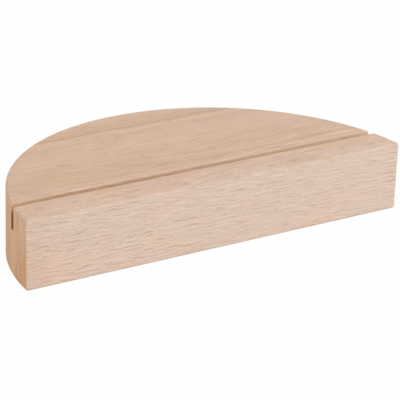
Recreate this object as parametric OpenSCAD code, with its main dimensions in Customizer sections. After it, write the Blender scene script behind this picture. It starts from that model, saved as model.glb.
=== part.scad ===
// Half-round wooden place card holder.
// A beech panel is glued up from staves, sawn to a half-round block, and given one saw cut for the card.
// The origin is the middle of the underside. +Z is up, and the straight front face looks along -Y.

/* [Block] */
// Length of the straight front face, before its corners are rounded
front_length = 120; // [112:1:160]
// Depth from the front face to the crown of the curve
depth = 57; // [45:0.5:60]
// Height of the block, which is the thickness of the board
height = 20; // [14:0.5:35]
// Radius of the sanded outer edges
edge_radius = 0.6; // [0.3:0.1:2]

/* [Card slot] */
// Distance from the front face to the slot
slot_setback = 10; // [6:0.5:20]
// Width of the saw cut
slot_width = 2.2; // [1.2:0.1:4]
// Depth of the saw cut below the top
slot_depth = 7; // [4:0.5:12]
// Width of the bevel sanded on both top edges of the slot
slot_bevel = 0.2; // [0.1:0.05:0.4]

/* [Glue joint] */
// Width of the rear stave, from the glue line to the crown
rear_stave_width = 10; // [5:0.5:20]
// Thickness of the glue line
glue_thickness = 0.12; // [0.06:0.02:0.3]

/* [Hidden] */
$fn = 180;

beech_colour = [0.86, 0.67, 0.48];
darker_beech_colour = [0.83, 0.62, 0.42];
glue_colour = [0.62, 0.42, 0.26];

// Overrun of every cutting solid past the surface that it cuts
overrun = 1;

front_y = -depth / 2;
crown_y = depth / 2;
half_length = front_length / 2;

// The rim is one arc through both front corners and the crown
rim_radius = (pow(depth, 2) + pow(half_length, 2)) / (2 * depth);
rim_centre_y = crown_y - rim_radius;

// The round of a front corner touches both the front face and the rim
corner_y = front_y + edge_radius;
corner_x = sqrt(pow(rim_radius - edge_radius, 2) - pow(corner_y - rim_centre_y, 2));
// Unit direction from the rim's centre through the centre of that round
corner_out = [corner_x, corner_y - rim_centre_y] / (rim_radius - edge_radius);

slot_y = front_y + slot_setback + slot_width / 2;
slot_floor_z = height - slot_depth;

glue_back_y = crown_y - rear_stave_width;
glue_front_y = glue_back_y - glue_thickness;

// Outline of the half-round block from above, with both front corners rounded
module outline() {
    difference() {
        intersection() {
            translate([0, rim_centre_y]) circle(r = rim_radius);
            translate([-half_length - overrun, front_y])
                square([front_length + 2 * overrun, depth + overrun]);
        }
        for (side = [-1, 1]) corner_waste(side);
    }
    for (side = [-1, 1]) translate([side * corner_x, corner_y]) circle(r = edge_radius);
}

// The sharp tip of one front corner, outside the two points where the round touches
module corner_waste(side) {
    far = edge_radius + overrun;
    polygon([
        [side * corner_x, corner_y],
        [side * corner_x, corner_y - far],
        [side * (corner_x + far), corner_y - far],
        [side * (corner_x + far * corner_out.x), corner_y + far * corner_out.y]
    ]);
}

// Section through the board from zero to its reach, with the far top and bottom edges rounded
module eased_section(reach) {
    square([reach - edge_radius, height]);
    translate([0, edge_radius]) square([reach, height - 2 * edge_radius]);
    for (z = [edge_radius, height - edge_radius])
        translate([reach - edge_radius, z]) circle(r = edge_radius);
}

// The half-round block before the slot and the glue joint are cut
module block() {
    intersection() {
        linear_extrude(height) outline();
        // Top and bottom edges eased along the rim
        translate([0, rim_centre_y, 0]) rotate_extrude() eased_section(rim_radius);
        // Top and bottom edges eased along the front face
        translate([-half_length - overrun, crown_y + overrun, 0])
            rotate([90, 0, 90])
                linear_extrude(front_length + 2 * overrun)
                    mirror([1, 0]) eased_section(depth + overrun);
    }
}

// The path of the saw, which runs out through both ends of the block
module saw_cut() {
    translate([-half_length - overrun, slot_y, 0])
        rotate([90, 0, 90])
            linear_extrude(front_length + 2 * overrun)
                polygon([
                    [-slot_width / 2, slot_floor_z],
                    [slot_width / 2, slot_floor_z],
                    [slot_width / 2, height - slot_bevel],
                    [slot_width / 2 + slot_bevel + overrun, height + overrun],
                    [-slot_width / 2 - slot_bevel - overrun, height + overrun],
                    [-slot_width / 2, height - slot_bevel]
                ]);
}

// The part of the block from one depth to another
module lengthwise_slice(from_y, to_y) {
    intersection() {
        block();
        translate([-half_length - overrun, from_y, -overrun])
            cube([front_length + 2 * overrun, to_y - from_y, height + 2 * overrun]);
    }
}

// Wide stave with the front face and the card slot
module front_stave() {
    color(beech_colour)
        difference() {
            lengthwise_slice(front_y - overrun, glue_front_y);
            saw_cut();
        }
}

// Cured glue between the two staves
module glue_line() {
    color(glue_colour) lengthwise_slice(glue_front_y, glue_back_y);
}

// Narrow stave with the crown of the curve
module rear_stave() {
    color(darker_beech_colour) lengthwise_slice(glue_back_y, crown_y + overrun);
}

front_stave();
glue_line();
rear_stave();
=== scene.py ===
import math

import bmesh
import bpy
import numpy as np
from mathutils import Matrix, Vector


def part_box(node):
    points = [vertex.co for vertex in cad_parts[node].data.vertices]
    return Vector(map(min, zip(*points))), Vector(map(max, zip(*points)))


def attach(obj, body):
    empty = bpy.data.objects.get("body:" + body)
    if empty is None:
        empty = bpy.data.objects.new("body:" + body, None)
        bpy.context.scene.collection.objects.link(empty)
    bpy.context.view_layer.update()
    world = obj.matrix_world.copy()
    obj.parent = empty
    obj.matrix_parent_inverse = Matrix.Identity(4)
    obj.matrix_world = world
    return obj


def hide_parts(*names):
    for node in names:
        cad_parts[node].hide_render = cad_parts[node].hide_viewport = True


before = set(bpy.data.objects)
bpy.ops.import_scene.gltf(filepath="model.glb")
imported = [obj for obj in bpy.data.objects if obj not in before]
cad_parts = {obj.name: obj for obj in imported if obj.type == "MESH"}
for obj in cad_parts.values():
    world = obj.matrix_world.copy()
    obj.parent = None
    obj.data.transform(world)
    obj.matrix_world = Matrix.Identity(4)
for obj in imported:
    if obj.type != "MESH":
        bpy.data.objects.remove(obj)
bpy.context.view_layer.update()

mm = 0.001

# Sizes of the block that its box doesn't show; the rest is read from the frame
block = {
    "frontLength": 120 * mm,  # before the front corners are rounded
    "edgeRadius": 0.6 * mm,
    "slotSetback": 10 * mm,
    "slotWidth": 2.2 * mm,
    "slotDepth": 7 * mm,
    "slotBevel": 0.2 * mm,
}

frontBox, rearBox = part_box("front_stave"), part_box("rear_stave")
frontY = frontBox[0].y
block["depth"] = -2 * frontY  # the origin is in the middle of the block's depth
block["height"] = frontBox[1].z
block["slotBack"] = block["slotSetback"] + block["slotWidth"]
block["slotFloor"] = block["height"] - block["slotDepth"]
block["glueFront"] = frontBox[1].y - frontY
block["glueBack"] = rearBox[0].y - frontY

# The rim is one circle through both front corners and the crown, and a small circle rounds each corner
block["rimRadius"] = (block["depth"] ** 2 + (block["frontLength"] / 2) ** 2) / (2 * block["depth"])
block["rimCentre"] = block["depth"] - block["rimRadius"]
block["cornerX"] = math.sqrt(
    (block["rimRadius"] - block["edgeRadius"]) ** 2 - (block["edgeRadius"] - block["rimCentre"]) ** 2
)
print("block", *(round(block[size] / mm, 2) for size in ("frontLength", "depth", "height")), "mm")


def linear(red, green, blue):
    # A colour as it looks on a screen, from 0 to 255, made linear
    share = np.array([red, green, blue]) / 255
    value = np.where(share <= 0.04045, share / 12.92, ((share + 0.055) / 1.055) ** 2.4)
    return tuple(float(v) for v in value) + (1.0,)


def tone(shades):
    # Three numbers for red, green and blue, or one for all of them, with full alpha
    return (shades if isinstance(shades, tuple) else (shades,) * 3) + (1.0,)


# Shader maths


class Wire:
    # An output socket that can be used in sums, differences, products and quotients
    def __init__(self, finish, socket):
        self.finish, self.socket = finish, socket

    def __add__(self, other):
        return self.finish.arithmetic("ADD", self, other)

    def __sub__(self, other):
        return self.finish.arithmetic("SUBTRACT", self, other)

    def __mul__(self, other):
        return self.finish.arithmetic("MULTIPLY", self, other)

    def __truediv__(self, other):
        return self.finish.arithmetic("DIVIDE", self, other)

    def __rsub__(self, other):
        return self.finish.arithmetic("SUBTRACT", other, self)

    def __rtruediv__(self, other):
        return self.finish.arithmetic("DIVIDE", other, self)

    __radd__ = __add__
    __rmul__ = __mul__


class Finish:
    # The nodes of one material, or of the world
    def __init__(self, owner):
        owner.use_nodes = True
        self.tree = owner.node_tree
        self.tree.nodes.clear()

    def node(self, kind, settings=None, inputs=None, out=0):
        # Settings come before sockets; the wire returned is the output named or numbered by out
        made = self.tree.nodes.new(kind)
        for name, value in (settings or {}).items():
            if name == "stops":
                self.setStops(made.color_ramp, value)
            else:
                setattr(made, name, value)
        for name, value in (inputs or {}).items():
            self.feed(made.inputs[name], value)
        return Wire(self, made.outputs[out]) if made.outputs else None

    def setStops(self, ramp, stops):
        while len(ramp.elements) < len(stops):
            ramp.elements.new(0.5)
        for element, (place, colour) in zip(ramp.elements, stops):
            element.position = place
            element.color = colour

    def feed(self, socket, value):
        if isinstance(value, Wire):
            self.tree.links.new(value.socket, socket)
        else:
            socket.default_value = value

    def arithmetic(self, operation, first, second):
        wires = [w for w in (first, second) if isinstance(w, Wire)]
        isVector = any(w.socket.type == "VECTOR" for w in wires)
        kind = "ShaderNodeVectorMath" if isVector else "ShaderNodeMath"
        if isVector:
            first, second = (
                (v,) * 3 if isinstance(v, (int, float)) else v for v in (first, second)
            )
        return self.node(kind, {"operation": operation}, {0: first, 1: second})

    def vector(self, x, y, z):
        return self.node("ShaderNodeCombineXYZ", inputs={0: x, 1: y, 2: z})

    def split(self, wire):
        parts = self.node("ShaderNodeSeparateXYZ", inputs={0: wire}).socket.node.outputs
        return [Wire(self, part) for part in parts]

    def absolute(self, wire):
        return self.node("ShaderNodeMath", {"operation": "ABSOLUTE"}, {0: wire})

    def attribute(self, name, out="Fac"):
        return self.node("ShaderNodeAttribute", {"attribute_name": name}, out=out)

    def noise(self, place, detail, roughness=0.5):
        return self.node("ShaderNodeTexNoise", inputs={
            "Vector": place, "Scale": 1.0, "Detail": detail, "Roughness": roughness,
        })

    def spaced(self, place, spacing):
        # A place in mm turned into one in spots that lie as far apart along X, Y and Z as the spacing says
        return place * tuple(1 / gap for gap in spacing)

    def stray(self, place, spacing, reach):
        # A slow change to either side of zero, whose spots lie as far apart as the spacing says
        return (self.noise(self.spaced(place, spacing), detail=1.0) - 0.5) * reach

    def step(self, wire, span, ends=(0.0, 1.0)):
        # Smooth change from one end to the other as the wire crosses the span
        return self.node("ShaderNodeMapRange", {"interpolation_type": "SMOOTHSTEP"}, {
            "Value": wire, "From Min": span[0], "From Max": span[1], "To Min": ends[0], "To Max": ends[1],
        })

    def mix(self, factor, first, second, blend="MIX"):
        # Sockets 0, 6 and 7 are the factor and the two colours, and output 2 is the mixed colour
        settings = {"data_type": "RGBA", "blend_type": blend, "clamp_factor": True}
        return self.node("ShaderNodeMix", settings, {0: factor, 6: first, 7: second}, out=2)

    def darken(self, colour, share, hue):
        # The colour less a share of it, taken more from some primaries than from others
        return self.mix(1.0, colour, 1 - self.vector(share, share, share) * hue, "MULTIPLY")

    def close(self, colour, roughness, height, bumpDepth, gloss):
        bump = self.node("ShaderNodeBump", inputs={
            "Strength": 1.0, "Distance": bumpDepth, "Height": height,
        })
        shader = self.node("ShaderNodeBsdfPrincipled", inputs={
            "Base Color": colour, "Roughness": roughness, "Normal": bump, "Specular IOR Level": gloss,
        })
        self.node("ShaderNodeOutputMaterial", inputs={"Surface": shader})


# Beech

# What both staves share. Lengths are in mm. A spacing is how far apart like places lie along the fibres,
# into the wood and across; a span is where a change starts and where it is complete.
beechGrain = {
    "flatSpan": (0.3, 0.95),  # how far a face looks along Y as it becomes flat-sawn
    "endSpan": (0.35, 0.95),  # and along X as it becomes end grain
    "endLostOnEdge": 0.6,  # an eased edge of the end grain shows it less

    "fall": 0.044,  # how much the fibres drop for each mm to the right
    # How lines stray: the spacing, and how far it is from one side to the other
    "drift": ((38, 50, 26), 1.8),  # of fibres over a few centimetres
    "waver": ((9, 14, 5), 0.7),  # and over one centimetre
    "bend": ((45, 30, 30), 1.8),  # of rings from flat sheets
    "sway": ((9, 5, 5), 0.9),  # of fine streaks from the rings

    "bandsReach": 60,  # depth behind the front face that the ramp of growth rings covers
    "bandSpacing": (28, 5, 25),  # of the places where the rings are fainter
    "bandSpan": (0.3, 0.6),
    "bandStrength": (0.45, 1.0),
    "bandOnFlat": 0.8,  # their strength on the flat-sawn face

    "ray": (6.6, 3.2, 0.42),  # room that each ray has
    "raySpan": (0.36, 0.08),  # from a ray's rim to its core, as shares of that room
    "rayChance": (-0.3, 0.9),  # some rays are fainter than others
    "rayDark": 0.32,
    "rayDepth": (9, 1),  # where rays grow clearer towards the front face, on the other faces
    "rayBeside": (0.25, 0.6),
    "rayAlong": (1.08, 0.86),  # from the left end to the right

    "rowGap": 1.15,  # from one row of fine lines to the next
    "rowCrest": (-0.6, 1.0),  # part of the wave between two rows that darkens
    "rowMean": 0.4,  # its average, taken off so that rows don't darken the whole face
    "rowStray": (12.0, 4.0, 1.3),
    "rowReach": 2.2,  # how many rows they stray
    "rowBreak": (5.0, 3.0, 0.7),  # spacing of the places where the rows are broken
    "rowBreakUp": 5.1,  # keeps the breaks apart from the straying
    "rowBreakSpan": (0.36, 0.62),
    "rowDark": 0.155,
    "ripple": (0.55, 1.4, 0.3),
    "rippleTone": 0.26,
    "flank": 0.55,  # from a dark line to the middle of the paler wood on each side of it
    "flankShare": 0.1,

    "streak": (11.0, 0.9, 8.0),
    "streakTone": 0.38,
    "streakOnEnd": 0.6,  # how much more they show on end grain
    "streakLostOnFlat": 0.85,
    "fibre": (1.8, 0.22, 0.2),
    "fibreTone": 0.18,
    "fineDetail": 2.0,
    "fineRoughness": 0.6,
    "calm": (22, 9, 9),  # spacing of the places with fewer streaks
    "calmSpan": (0.6, 0.38),
    "calmStrength": (0.55, 1.2),
    "clearDepth": (30, 20),  # streaks and fibres grow clearer towards the slot
    "clearer": 0.4,
    "brown": (0.84, 1.09, 1.24),  # what the dark lines take from red, green and blue

    "blotch": (20, 6, 11),  # spacing of the rosy and the tanned patches
    "blotchDetail": 3.0,
    "blushSpan": (0.48, 0.68),
    "tanSpan": (0.5, 0.3),
    "tanLostOnFlat": 0.75,
    "warmLevel": (17, 5),  # end grain is warmer low down
    "warmDepth": (11, 4),  # and near the front
    "highlightDepth": (1.5, 0.8),  # how near the front face a rounded corner has its painted highlight
    "highlightGain": 2,  # brings that painted highlight to full strength where a corner looks both ways

    "paintedShadeAndDarkening": (0.02, 0.16),  # painted shade on the eased edges, from the upper ones to the lowest
    "edgeShadeLevel": (0.5, 0.1),
    "endShade": 0.08,  # painted shade on end grain, near the front corners
    "endShadeDepth": (2.4, 1.2),
    "leftDarkening": 0.06,  # on the flat-sawn face, near its left end
    "leftDarkeningSpan": (-50, -60),

    "roughness": 0.62,
    "fibreRoughness": 0.12,
    "endRoughness": 0.1,
    "sawnRoughness": 0.15,
    "fibreHeight": 0.7,
    "lineDepth": 1.5,
    "poreDepth": 0.02,
    "gloss": 0.25,
}


def stretched(finish, line, spacing, up=0.0):
    # A place along, into and across the grain, so many mm further up, in spots as far apart as the spacing
    along, into, across = line
    return finish.vector(along / spacing[0], into / spacing[1], (across + up) / spacing[2])


def growthRings(finish, look, line, flat):
    # Bands of early and late wood, one behind the other, which are stronger in some places than others, and
    # on the front stave a painted highlight along the slot
    grain = beechGrain
    reach = grain["bandsReach"]
    stops = [(depth / reach, tone(shades)) for depth, shades in look["bands"]]
    bands = finish.node("ShaderNodeValToRGB", {"stops": stops}, {"Fac": line[1] / reach})
    patches = finish.noise(stretched(finish, line, grain["bandSpacing"]), detail=1.0)
    strength = finish.step(patches, grain["bandSpan"], grain["bandStrength"])
    strength = strength * (1 - flat) + flat * grain["bandOnFlat"]
    return finish.mix(strength, tone(1.0), bands)


def darkLines(finish, line, up):
    # Rays as short dashes, some darker than others, rows of finer lines that break off, and ripples,
    # all of them as they are so many mm further up
    grain = beechGrain
    cells = finish.node("ShaderNodeTexVoronoi", {"feature": "F1"}, {
        "Vector": stretched(finish, line, grain["ray"], up), "Scale": 1.0,
    })
    chance = finish.split(Wire(finish, cells.socket.node.outputs["Color"]))[0]
    rays = finish.step(cells, grain["raySpan"]) * finish.step(chance, grain["rayChance"])
    stray = finish.noise(stretched(finish, line, grain["rowStray"], up), detail=0.0) * grain["rowReach"]
    turns = ((line[2] + up) / grain["rowGap"] + stray) * math.tau
    wave = finish.node("ShaderNodeMath", {"operation": "SINE"}, {0: turns})
    breaks = finish.noise(stretched(finish, line, grain["rowBreak"], up + grain["rowBreakUp"]), detail=0.0)
    kept = finish.step(breaks, grain["rowBreakSpan"])
    rows = (finish.step(wave, grain["rowCrest"]) - grain["rowMean"]) * kept
    ripple = finish.noise(stretched(finish, line, grain["ripple"], up), detail=0.0) - 0.5
    return rays * grain["rayDark"] + rows * grain["rowDark"] - ripple * grain["rippleTone"]


def paintSlotLightAndShade(finish, colour, sawn, x, level, slotLightAndShade):
    # The slot's walls get painted shade, the more so the deeper they lie, and painted light near the mouth
    # and towards the right
    top, (start, full) = block["height"] / mm, slotLightAndShade["fade"]
    nearMouth = finish.step(level, (top - full, top - start))
    wallLightAndShade = finish.mix(nearMouth, tone(slotLightAndShade["deep"]), tone(slotLightAndShade["top"]))
    colour = finish.mix(sawn, colour, wallLightAndShade, "MULTIPLY")
    return finish.mix(sawn * finish.step(x, slotLightAndShade["rightSpan"]), colour, tone(slotLightAndShade["right"]), "MULTIPLY")


def beech(name, look):
    # Fibres run along X, growth rings lie one behind the other along Y, and rays are thin sheets across Z
    material = bpy.data.materials.new(name)
    finish = Finish(material)
    grain = beechGrain
    plain = finish.node("ShaderNodeTexCoord", out="Object") * (1 / mm)
    place = plain + look["shift"]
    level = finish.split(plain)[2]
    x, y, z = finish.split(place)
    leftEnd, rightEnd = (side * block["frontLength"] / mm / 2 for side in (-1, 1))

    # Kinds of face, each a mask from 0 to 1
    normal = finish.attribute("faceNormal", "Vector")
    acrossX, acrossY = (finish.absolute(n) for n in finish.split(normal)[:2])
    edge, sawn = finish.attribute("easedEdge"), finish.attribute("sawnFace")
    flat = finish.step(acrossY, grain["flatSpan"])
    end = finish.step(acrossX, grain["endSpan"]) * (1 - edge * grain["endLostOnEdge"])
    # The corner mask places a painted highlight on the rounded front corners
    corner = edge * acrossX * acrossY * grain["highlightGain"] * finish.step(y, grain["highlightDepth"])

    # Fibres and rings stray a little from straight lines
    ways = ("drift", "waver", "bend", "sway")
    drift, waver, bend, sway = (finish.stray(place, *grain[way]) for way in ways)
    across = z + x * grain["fall"] + drift + waver
    ring = y + bend
    line = (x, ring + sway, across)

    # Rays show as short dark dashes on the flat-sawn face and near it, and hardly on the others
    figure = finish.step(y, grain["rayDepth"], grain["rayBeside"]) * (1 - flat) + flat
    figure = figure * finish.step(x, (leftEnd, rightEnd), grain["rayAlong"])
    dashes = darkLines(finish, line, 0.0)
    above, below = (darkLines(finish, line, side * grain["flank"]) for side in (1, -1))
    flanks = (above + below) * grain["flankShare"]
    streak, fibre = (
        finish.noise(stretched(finish, line, grain[kind]), grain["fineDetail"], grain["fineRoughness"]) - 0.5
        for kind in ("streak", "fibre")
    )
    patches = finish.noise(finish.spaced(place, grain["calm"]), detail=0.0)
    calm = finish.step(patches, grain["calmSpan"], grain["calmStrength"])

    # Tints of some places, where the stave has them; the corner tint is a painted highlight
    blotch = finish.noise(finish.spaced(place, grain["blotch"]), grain["blotchDetail"])
    masks = {
        "warmer": end * finish.step(level, grain["warmLevel"]) * finish.step(y, grain["warmDepth"]),
        "paler": finish.step(x, (leftEnd, rightEnd)),
        "blush": finish.step(blotch, grain["blushSpan"]),
        "tan": finish.step(blotch, grain["tanSpan"]) * (1 - flat * grain["tanLostOnFlat"]),
        "corner": corner,
    }
    colour = finish.mix(flat, look["quarterSawn"], look["flatSawn"])
    colour = finish.mix(end, colour, look["endGrain"])
    for kind, mask in masks.items():
        if kind in look:
            colour = finish.mix(mask, colour, tone(look[kind]), "MULTIPLY")
    colour = finish.mix(1.0, colour, growthRings(finish, look, (x, ring, across), flat), "MULTIPLY")
    # Painted light and shade on the slot's walls
    if "slotLightAndShade" in look:
        colour = paintSlotLightAndShade(finish, colour, sawn, x, level, look["slotLightAndShade"])

    # The eased edges get painted shade, most on the lowest ones, and both faces darken towards the front
    # corners, the end grain as painted shade
    paintedShadeAndDarkening = edge * finish.step(level, grain["edgeShadeLevel"], grain["paintedShadeAndDarkening"])
    # painted shade on the end grain beside the painted corner highlight
    paintedShadeAndDarkening = paintedShadeAndDarkening + end * finish.step(y, grain["endShadeDepth"]) * grain["endShade"]
    # the flat-sawn face is darker towards its left end
    paintedShadeAndDarkening = paintedShadeAndDarkening + flat * finish.step(x, grain["leftDarkeningSpan"]) * grain["leftDarkening"]
    clear = 1 + finish.step(y, grain["clearDepth"]) * (1 - flat - end) * grain["clearer"]
    streaky = clear + end * grain["streakOnEnd"] - flat * grain["streakLostOnFlat"]
    dark = (dashes - flanks) * figure - fibre * grain["fibreTone"] * clear
    dark = dark - streak * calm * grain["streakTone"] * streaky + paintedShadeAndDarkening
    colour = finish.darken(colour, dark, grain["brown"])

    height = fibre * grain["fibreHeight"] - dashes * grain["lineDepth"]
    roughness = grain["roughness"] + fibre * grain["fibreRoughness"]
    roughness = roughness + end * grain["endRoughness"] + sawn * grain["sawnRoughness"]
    finish.close(colour, roughness, height, grain["poreDepth"] * mm, grain["gloss"])
    return material


frontBeech = {
    "shift": (0.0, -frontY / mm, 0.0),  # the front face is at depth zero
    "flatSawn": linear(213, 185, 161),
    "quarterSawn": linear(218, 185, 160),
    "endGrain": linear(215, 174, 140),
    "paler": (1.01, 1.032, 1.056),  # the wood grows paler towards the right
    "blush": (1.028, 0.98, 0.97),
    "tan": (0.996, 0.997, 0.925),
    "warmer": (0.935, 0.85, 0.715),  # low on the end grain near the front
    "corner": (1.14, 1.08, 0.99),  # a painted highlight on the rounded front corners
    "slotLightAndShade": {
        # painted light near the slot's mouth and towards its right end, and painted shade deep in it
        "top": (1.13, 1.055, 0.965),
        "deep": (0.62, 0.485, 0.345),
        "fade": (0.35, 3.6),  # mm below the top
        "right": (1.05, 1.115, 1.22),
        "rightSpan": (-30, 45),
    },
    "bands": [  # mm behind the front face, and the tint of the wood there, with a painted highlight along the slot and its edges
        (0.0, (1.04, 1.11, 1.24)), (1.2, (1.04, 1.103, 1.22)), (3.6, (1.015, 1.06, 1.13)),
        # the stops from 9.78 to 12.36 mm are a painted highlight along the slot and its edges
        (7.8, (1.005, 1.015, 1.035)), (9.0, (1.005, 1.012, 1.025)), (9.78, 1.045), (12.36, 1.035),
        (13.5, 1.0), (14.7, (1.0, 0.99, 0.98)), (16.32, (0.94, 0.925, 0.91)),
        (18.3, (0.99, 0.975, 0.955)), (20.4, (0.985, 0.97, 0.95)), (22.5, (0.935, 0.92, 0.9)),
        (24.3, (0.985, 0.975, 0.965)), (26.4, 0.965), (28.8, 0.965), (30.6, 1.01), (34.2, 1.02),
        (39.3, 1.0), (42.0, 0.95), (43.5, 0.985), (44.7, 1.04), (45.78, 1.035),
        (46.38, (0.975, 0.965, 0.96)), (46.86, (0.895, 0.865, 0.85)),
    ],
}
rearBeech = {
    "shift": (37.0, -frontY / mm, 21.0),  # another piece of wood, with the same depths
    "flatSawn": linear(214, 185, 162),
    "quarterSawn": linear(219, 186, 160),
    "endGrain": linear(209, 168, 133),
    "blush": (1.0, 0.97, 0.955),
    "tan": (0.985, 0.99, 0.92),
    "bands": [
        (47.04, (0.865, 0.84, 0.82)), (47.4, (0.9, 0.88, 0.86)), (48.0, (0.94, 0.925, 0.9)),
        (48.6, (0.92, 0.9, 0.875)), (49.8, (0.95, 0.94, 0.93)), (51.6, 0.98),
        (54.0, (1.0, 1.01, 1.03)), (56.4, (1.02, 1.04, 1.08)),
    ],
}

# Glue

glueFilm = {
    "dark": linear(128, 90, 60),
    "pale": linear(156, 116, 82),
    "spacing": (6, 1, 3),  # mm from one pale place to the next
    "detail": 2.0,
    "roughness": 0.5,
    "paleRoughness": 0.1,
    "bumpDepth": 0.01 * mm,
    "gloss": 0.4,
    "sink": 0.01 * mm,  # glue shrinks below the sanded wood
    "rows": 3,
}


def curedGlue():
    # Brown with paler places
    material = bpy.data.materials.new("cured glue")
    finish = Finish(material)
    place = finish.node("ShaderNodeTexCoord", out="Object") * (1 / mm)
    along = finish.noise(finish.spaced(place, glueFilm["spacing"]), glueFilm["detail"])
    colour = finish.mix(along, glueFilm["dark"], glueFilm["pale"])
    roughness = glueFilm["roughness"] + along * glueFilm["paleRoughness"]
    finish.close(colour, roughness, along, glueFilm["bumpDepth"], glueFilm["gloss"])
    return material


# Shapes

meshSteps = {
    "edgeTurn": 6,  # steps round an eased edge
    "wall": 1.0 * mm,  # step up the wall
    "across": 34,  # columns from the middle of the top to its edge
    "flatShare": 0.985,  # share of the half-width at which those columns end
    "floorShares": (0.9995, 0.987),  # where the columns above the slot's floor lie on it
    "strip": 12,  # rows from the front edge to the slot
    "slotFloor": 4,
    "rimDegrees": 0.5,
    "stations": 141,  # along the rear stave
    "rearRows": 16,  # from the glue line to the rim
    "sharpDegrees": 30,
    "weld": 0.0001 * mm,
    "slack": 0.001 * mm,
}


def planHalfWidth(depth, inset):
    # Half the block's width at a depth behind the front face, on the outline drawn in by an inset.
    # It follows the circle that rounds the front corner up to where that touches the rim's circle,
    # and the rim's circle from there on.
    radius, centre = block["rimRadius"], block["rimCentre"]
    corner = block["edgeRadius"]
    touch = corner + (corner - inset) * (corner - centre) / (radius - corner)
    small = np.sqrt(np.maximum((corner - inset) ** 2 - (depth - corner) ** 2, 0.0))
    large = np.sqrt(np.maximum((radius - inset) ** 2 - (depth - centre) ** 2, 0.0))
    return np.where(depth < touch, block["cornerX"] + small, large)


def halfSection():
    # Columns of the right half of a cross-section, from the middle of the underside round to the middle
    # of the top: the share of the half-width, the share of the quarter turn, the height on the wall,
    # and which edge the column belongs to (-1 underside, 0 wall, 1 top)
    r, floor, gap = block["edgeRadius"], block["slotFloor"], meshSteps["wall"]
    lower = np.arange(r + gap, floor - gap / 2, gap)
    upper = np.arange(floor + gap, block["height"] - r - gap / 2, gap)
    wall = np.concatenate([lower, [floor], upper])
    turn = np.linspace(0, 1, meshSteps["edgeTurn"] + 1)
    flat = np.linspace(0, meshSteps["flatShare"], meshSteps["across"])
    level = np.ones(flat.size)
    share = np.concatenate([flat, np.ones(2 * turn.size + wall.size), flat[::-1]])
    turns = np.concatenate([level, turn[::-1], np.zeros(wall.size), turn, level])
    side = np.repeat([-1, 0, 1], [flat.size + turn.size, wall.size, turn.size + flat.size])
    wallHeight = np.zeros(share.size)
    wallHeight[side == 0] = wall
    return share, turns, wallHeight, side


def loftAlongDepth(depth, turnShare, roof, onFloor, recess=0.0):
    # One cross-section for each depth, as wide as the outline there. The corners of the section turn
    # through a quarter circle, scaled by turnShare where the front edge is still being rounded.
    # No point is higher than its row's roof, and on the slot's floor the upper columns lie side by side.
    share, turns, wallHeight, side = halfSection()
    r, height = block["edgeRadius"], block["height"]
    angle = turns[None, :] * turnShare[:, None] * (math.pi / 2)
    inset = r * (1 - np.cos(angle))
    drop = r * (1 - np.sin(angle))
    x = share[None, :] * planHalfWidth(depth[:, None], inset)
    z = np.where(side == -1, drop, np.where(side == 1, height - drop, wallHeight))
    raised = (side == 1) | (wallHeight > block["slotFloor"] + meshSteps["slack"])
    outermost = raised & (share == 1)
    spread = np.where(share < 1, share, 0.0)
    spread[outermost] = np.linspace(*meshSteps["floorShares"], np.count_nonzero(outermost))
    laid = onFloor[:, None] & raised[None, :]
    x = np.where(laid, spread[None, :] * planHalfWidth(depth[:, None], 0.0), x)
    z = np.minimum(z, roof[:, None])
    x, z = x - np.sign(x) * recess * (share == 1), np.clip(z, recess, height - recess)
    y = np.broadcast_to(depth[:, None] + frontY, x.shape)
    right = np.stack([x, y, z], axis=2)
    left = right[:, -2:0:-1] * np.array([-1.0, 1.0, 1.0])
    return np.concatenate([right, left], axis=1)


def loftAlongLength(stations):
    # The rear stave: at each station along X the section runs from the glue line over the top, round
    # the rim and back under. A station is a share of the half-width at the glue line, which is
    # shorter where the rim is drawn in, so all rows end together in the two tips.
    r, height, gap = block["edgeRadius"], block["height"], meshSteps["wall"]
    radius, centre, back = block["rimRadius"], block["rimCentre"], block["glueBack"]
    turn = np.linspace(0, 1, meshSteps["edgeTurn"] + 1)
    wall = np.arange(height - r - gap, r + gap / 2, -gap)
    flat = np.linspace(0, 1, meshSteps["rearRows"], endpoint=False)
    level = np.ones(flat.size)
    turns = np.concatenate([level, turn[::-1], np.zeros(wall.size), turn, level])
    share = np.concatenate([flat, np.ones(2 * turn.size + wall.size), flat[::-1]])
    angle = turns * (math.pi / 2)
    inward = radius - r * (1 - np.cos(angle))
    drop = r * (1 - np.sin(angle))
    over = flat.size + turn.size
    z = np.where(np.arange(turns.size) < over, height - drop, drop)
    z[over:over + wall.size] = wall
    tip = np.sqrt(inward ** 2 - (back - centre) ** 2)
    x = stations[:, None] * tip[None, :]
    rim = centre + np.sqrt(inward[None, :] ** 2 - x ** 2)
    y = back + share[None, :] * (rim - back)
    points = np.stack([x, y + frontY, np.broadcast_to(z, x.shape)], axis=2)
    joint = (stations.size, wall.size)
    glueSide = np.stack([
        np.broadcast_to(x[:, :1], joint), np.full(joint, back + frontY), np.broadcast_to(wall[::-1], joint),
    ], axis=2)
    return np.concatenate([points, glueSide], axis=1)


def closedMesh(name, grid):
    # A tube of rows whose ends are capped, with its doubled points merged and its faces turned outwards
    rows, columns = grid.shape[:2]
    index = np.arange(rows * columns).reshape(rows, columns)
    following = np.roll(index, -1, axis=1)
    quads = np.stack([index[:-1], following[:-1], following[1:], index[1:]], axis=2).reshape(-1, 4)
    mesh = bpy.data.meshes.new(name)
    caps = [index[0].tolist(), index[-1, ::-1].tolist()]
    mesh.from_pydata(grid.reshape(-1, 3).tolist(), [], quads.tolist() + caps)
    shape = bmesh.new()
    shape.from_mesh(mesh)
    bmesh.ops.remove_doubles(shape, verts=shape.verts, dist=meshSteps["weld"])
    bmesh.ops.dissolve_degenerate(shape, dist=meshSteps["weld"], edges=shape.edges)
    bmesh.ops.recalc_face_normals(shape, faces=shape.faces)
    shape.to_mesh(mesh)
    shape.free()
    return mesh


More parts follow.
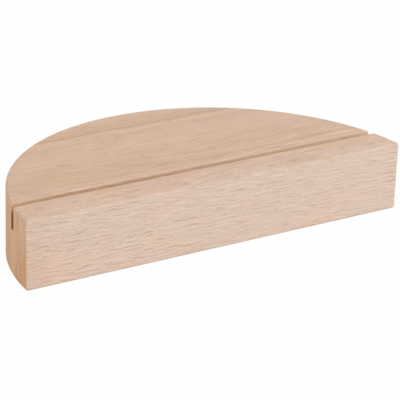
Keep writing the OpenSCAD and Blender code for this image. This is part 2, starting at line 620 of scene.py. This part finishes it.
faceLimits = {
    "sawnAlongX": 0.5,  # a sawn face looks less along X than this
    "cornerUpright": 0.1,  # a rounded front corner looks less up or down than this
    "easedUpright": (0.05, 0.998),  # an eased edge looks up or down by a part within these
}


def describeFaces(mesh):
    # Gives each face the attributes that the wood reads: its normal, whether it is an eased edge,
    # and whether the saw left it
    count, slack = len(mesh.polygons), meshSteps["slack"]
    normal, centre = np.zeros(count * 3), np.zeros(count * 3)
    mesh.polygons.foreach_get("normal", normal)
    mesh.polygons.foreach_get("center", centre)
    normal, centre = normal.reshape(-1, 3), centre.reshape(-1, 3)
    depth, upright = centre[:, 1] - frontY, np.abs(normal[:, 2])
    inSlot = (depth > block["slotSetback"] - slack) & (depth < block["slotBack"] + slack)
    inSlot = inSlot & (centre[:, 2] > block["slotFloor"] - slack)
    sawn = inSlot & (np.abs(normal[:, 0]) < faceLimits["sawnAlongX"])
    corner = (depth < block["edgeRadius"]) & (depth > slack) & (upright < faceLimits["cornerUpright"])
    lowest, highest = faceLimits["easedUpright"]
    eased = ((upright > lowest) & (upright < highest)) | corner
    for title, kind, values in (
        ("faceNormal", "FLOAT_VECTOR", normal),
        ("easedEdge", "FLOAT", (eased & ~sawn).astype(float)),
        ("sawnFace", "FLOAT", sawn.astype(float)),
    ):
        attribute = mesh.attributes.new(title, kind, "FACE")
        field = "vector" if kind == "FLOAT_VECTOR" else "value"
        attribute.data.foreach_set(field, values.astype(np.float32).ravel())


def makePiece(name, mesh, material, node):
    # Puts the mesh in the scene in the place of its CAD node, with smooth faces and sharp arrises
    describeFaces(mesh)
    mesh.materials.append(material)
    mesh.polygons.foreach_set("use_smooth", np.ones(len(mesh.polygons), bool))
    mesh.set_sharp_from_angle(angle=math.radians(meshSteps["sharpDegrees"]))
    piece = bpy.data.objects.new(name, mesh)
    bpy.context.scene.collection.objects.link(piece)
    even = piece.modifiers.new("even normals", "WEIGHTED_NORMAL")
    even.keep_sharp = True
    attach(piece, "root")
    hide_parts(node)
    print(name, len(mesh.vertices), "points", len(mesh.polygons), "faces")


def frontStave():
    # Rows from the front face back to the glue line: over the front edge, along the strip, down into
    # the slot and out of it, and on in equal angles of the rim
    r, height, bevel = block["edgeRadius"], block["height"], block["slotBevel"]
    start, end, back = block["slotSetback"], block["slotBack"], block["glueFront"]
    turn = np.linspace(0, 1, meshSteps["edgeTurn"] + 1)
    rounding = r * (1 - np.cos(turn * math.pi / 2))
    strip = np.linspace(r, start - bevel, meshSteps["strip"] + 1)[1:]
    ground = np.linspace(start, end, meshSteps["slotFloor"] + 1)
    radius, centre = block["rimRadius"], block["rimCentre"]
    low, high = (math.degrees(math.asin((place - centre) / radius)) for place in (end + bevel, back))
    steps = round((high - low) / meshSteps["rimDegrees"])
    angles = np.radians(np.linspace(low, high, steps + 1))
    behind = centre + radius * np.sin(angles)
    behind[-1] = back
    depth = np.concatenate([rounding, strip, [start], ground, [end], behind])
    turnShare = np.ones(depth.size)
    turnShare[:turn.size] = turn
    first = rounding.size + strip.size
    roof = np.full(depth.size, height)
    roof[[first, first + ground.size + 1]] = height - bevel
    onFloor = np.zeros(depth.size, bool)
    onFloor[first + 1:first + 1 + ground.size] = True
    roof[onFloor] = block["slotFloor"]
    return closedMesh("front stave", loftAlongDepth(depth, turnShare, roof, onFloor))


def glueLine():
    # A thin slice of the block, drawn in a little
    depth = np.linspace(block["glueFront"], block["glueBack"], glueFilm["rows"])
    whole = np.ones(depth.size)
    nowhere = np.zeros(depth.size, bool)
    grid = loftAlongDepth(depth, whole, whole * block["height"], nowhere, recess=glueFilm["sink"])
    return closedMesh("glue line", grid)


def rearStave():
    # Stations follow a sine, so that they lie closer together towards the two tips
    stations = np.sin(np.linspace(-math.pi / 2, math.pi / 2, meshSteps["stations"]))
    return closedMesh("rear stave", loftAlongLength(stations))


makePiece("front_stave_wood", frontStave(), beech("beech front", frontBeech), "front_stave")
makePiece("glue_line_film", glueLine(), curedGlue(), "glue_line")
makePiece("rear_stave_wood", rearStave(), beech("beech rear", rearBeech), "rear_stave")

# Studio

# Sizes and distances are in metres, and angles in degrees
studio = {
    "floorSize": 6.0,
    "floorColour": (0.95, 0.95, 0.95, 1.0),
    "whiteShare": 0.97,  # how much of the floor's look is plain white to the camera
    "worldStrength": 0.66,
}
lamps = {
    "front": {"azimuth": 15, "elevation": 42, "distance": 1.6, "size": 1.2, "watts": 9.7},
    "left": {"azimuth": -70, "elevation": 30, "distance": 1.6, "size": 1.0, "watts": 2.0},
}


def backTowards(azimuth, elevation):
    # Unit vector from the block to a place at that azimuth and elevation; azimuth 0 is in front
    a, e = math.radians(azimuth), math.radians(elevation)
    return Vector((math.sin(a) * math.cos(e), -math.cos(a) * math.cos(e), math.sin(e)))


def seenDirectly(finish):
    # One where the camera or a mirror-like surface looks, and zero for the light on the object
    rays = finish.node("ShaderNodeLightPath").socket.node.outputs
    looks = {0: Wire(finish, rays["Is Camera Ray"]), 1: Wire(finish, rays["Is Glossy Ray"])}
    return finish.node("ShaderNodeMath", {"operation": "MAXIMUM"}, looks)


def makeFloor():
    # A pale square that is nearly white to the camera and keeps the block's shadow
    material = bpy.data.materials.new("white table")
    finish = Finish(material)
    paint = finish.node("ShaderNodeBsdfDiffuse", inputs={"Color": studio["floorColour"]})
    white = finish.node("ShaderNodeEmission", inputs={"Color": tone(1.0), "Strength": 1.0})
    factor = seenDirectly(finish) * studio["whiteShare"]
    surface = finish.node("ShaderNodeMixShader", inputs={0: factor, 1: paint, 2: white})
    finish.node("ShaderNodeOutputMaterial", inputs={"Surface": surface})
    half = studio["floorSize"] / 2
    corners = [(-half, -half, 0), (half, -half, 0), (half, half, 0), (-half, half, 0)]
    mesh = bpy.data.meshes.new("table")
    mesh.from_pydata(corners, [], [(0, 1, 2, 3)])
    mesh.materials.append(material)
    table = bpy.data.objects.new("table", mesh)
    bpy.context.scene.collection.objects.link(table)


def makeWorld():
    # Even light from all around, and plain white where it is seen directly
    world = bpy.data.worlds.new("studio")
    bpy.context.scene.world = world
    finish = Finish(world)
    light = finish.node("ShaderNodeBackground", inputs={
        "Color": tone(1.0), "Strength": studio["worldStrength"],
    })
    white = finish.node("ShaderNodeBackground", inputs={"Color": tone(1.0), "Strength": 1.0})
    surface = finish.node("ShaderNodeMixShader", inputs={0: seenDirectly(finish), 1: light, 2: white})
    finish.node("ShaderNodeOutputWorld", inputs={"Surface": surface})


def makeLamp(name, lamp):
    # A square soft lamp that shines at the block
    data = bpy.data.lights.new(name, "AREA")
    data.shape = "SQUARE"
    data.size = lamp["size"]
    data.energy = lamp["watts"]
    light = bpy.data.objects.new(name, data)
    bpy.context.scene.collection.objects.link(light)
    back = backTowards(lamp["azimuth"], lamp["elevation"])
    light.location = back * lamp["distance"]
    light.rotation_mode = "QUATERNION"
    light.rotation_quaternion = (-back).to_track_quat("-Z", "Y")


viewpoint = {
    "azimuth": -33.192,
    "elevation": 22.653,
    "roll": 2.079,
    "distance": 600.74 * mm,
    "aim": (7.037 * mm, -6.726 * mm, 4.736 * mm),
    "lens": 190.93,  # focal length and sensor as a camera gives them, in mm
    "sensor": 36.0,
    "clip": (0.01, 20.0),
}


def makeCamera():
    # The camera looks at its aim from the given azimuth and elevation, and is rolled about that line
    data = bpy.data.cameras.new("camera")
    data.lens = viewpoint["lens"]
    data.sensor_width = viewpoint["sensor"]
    data.clip_start, data.clip_end = viewpoint["clip"]
    camera = bpy.data.objects.new("camera", data)
    bpy.context.scene.collection.objects.link(camera)
    back = backTowards(viewpoint["azimuth"], viewpoint["elevation"])
    azimuth, roll = math.radians(viewpoint["azimuth"]), math.radians(viewpoint["roll"])
    right = Vector((math.cos(azimuth), math.sin(azimuth), 0))
    up = back.cross(right)
    turnedRight = right * math.cos(roll) + up * math.sin(roll)
    turnedUp = up * math.cos(roll) - right * math.sin(roll)
    turned = Matrix((turnedRight, turnedUp, back)).transposed().to_4x4()
    turned.translation = Vector(viewpoint["aim"]) + back * viewpoint["distance"]
    camera.matrix_world = turned
    bpy.context.scene.camera = camera


makeFloor()
makeWorld()
for lampName, lamp in lamps.items():
    makeLamp(lampName, lamp)
makeCamera()
bpy.context.scene.view_settings.view_transform = "Standard"
print("studio ready")
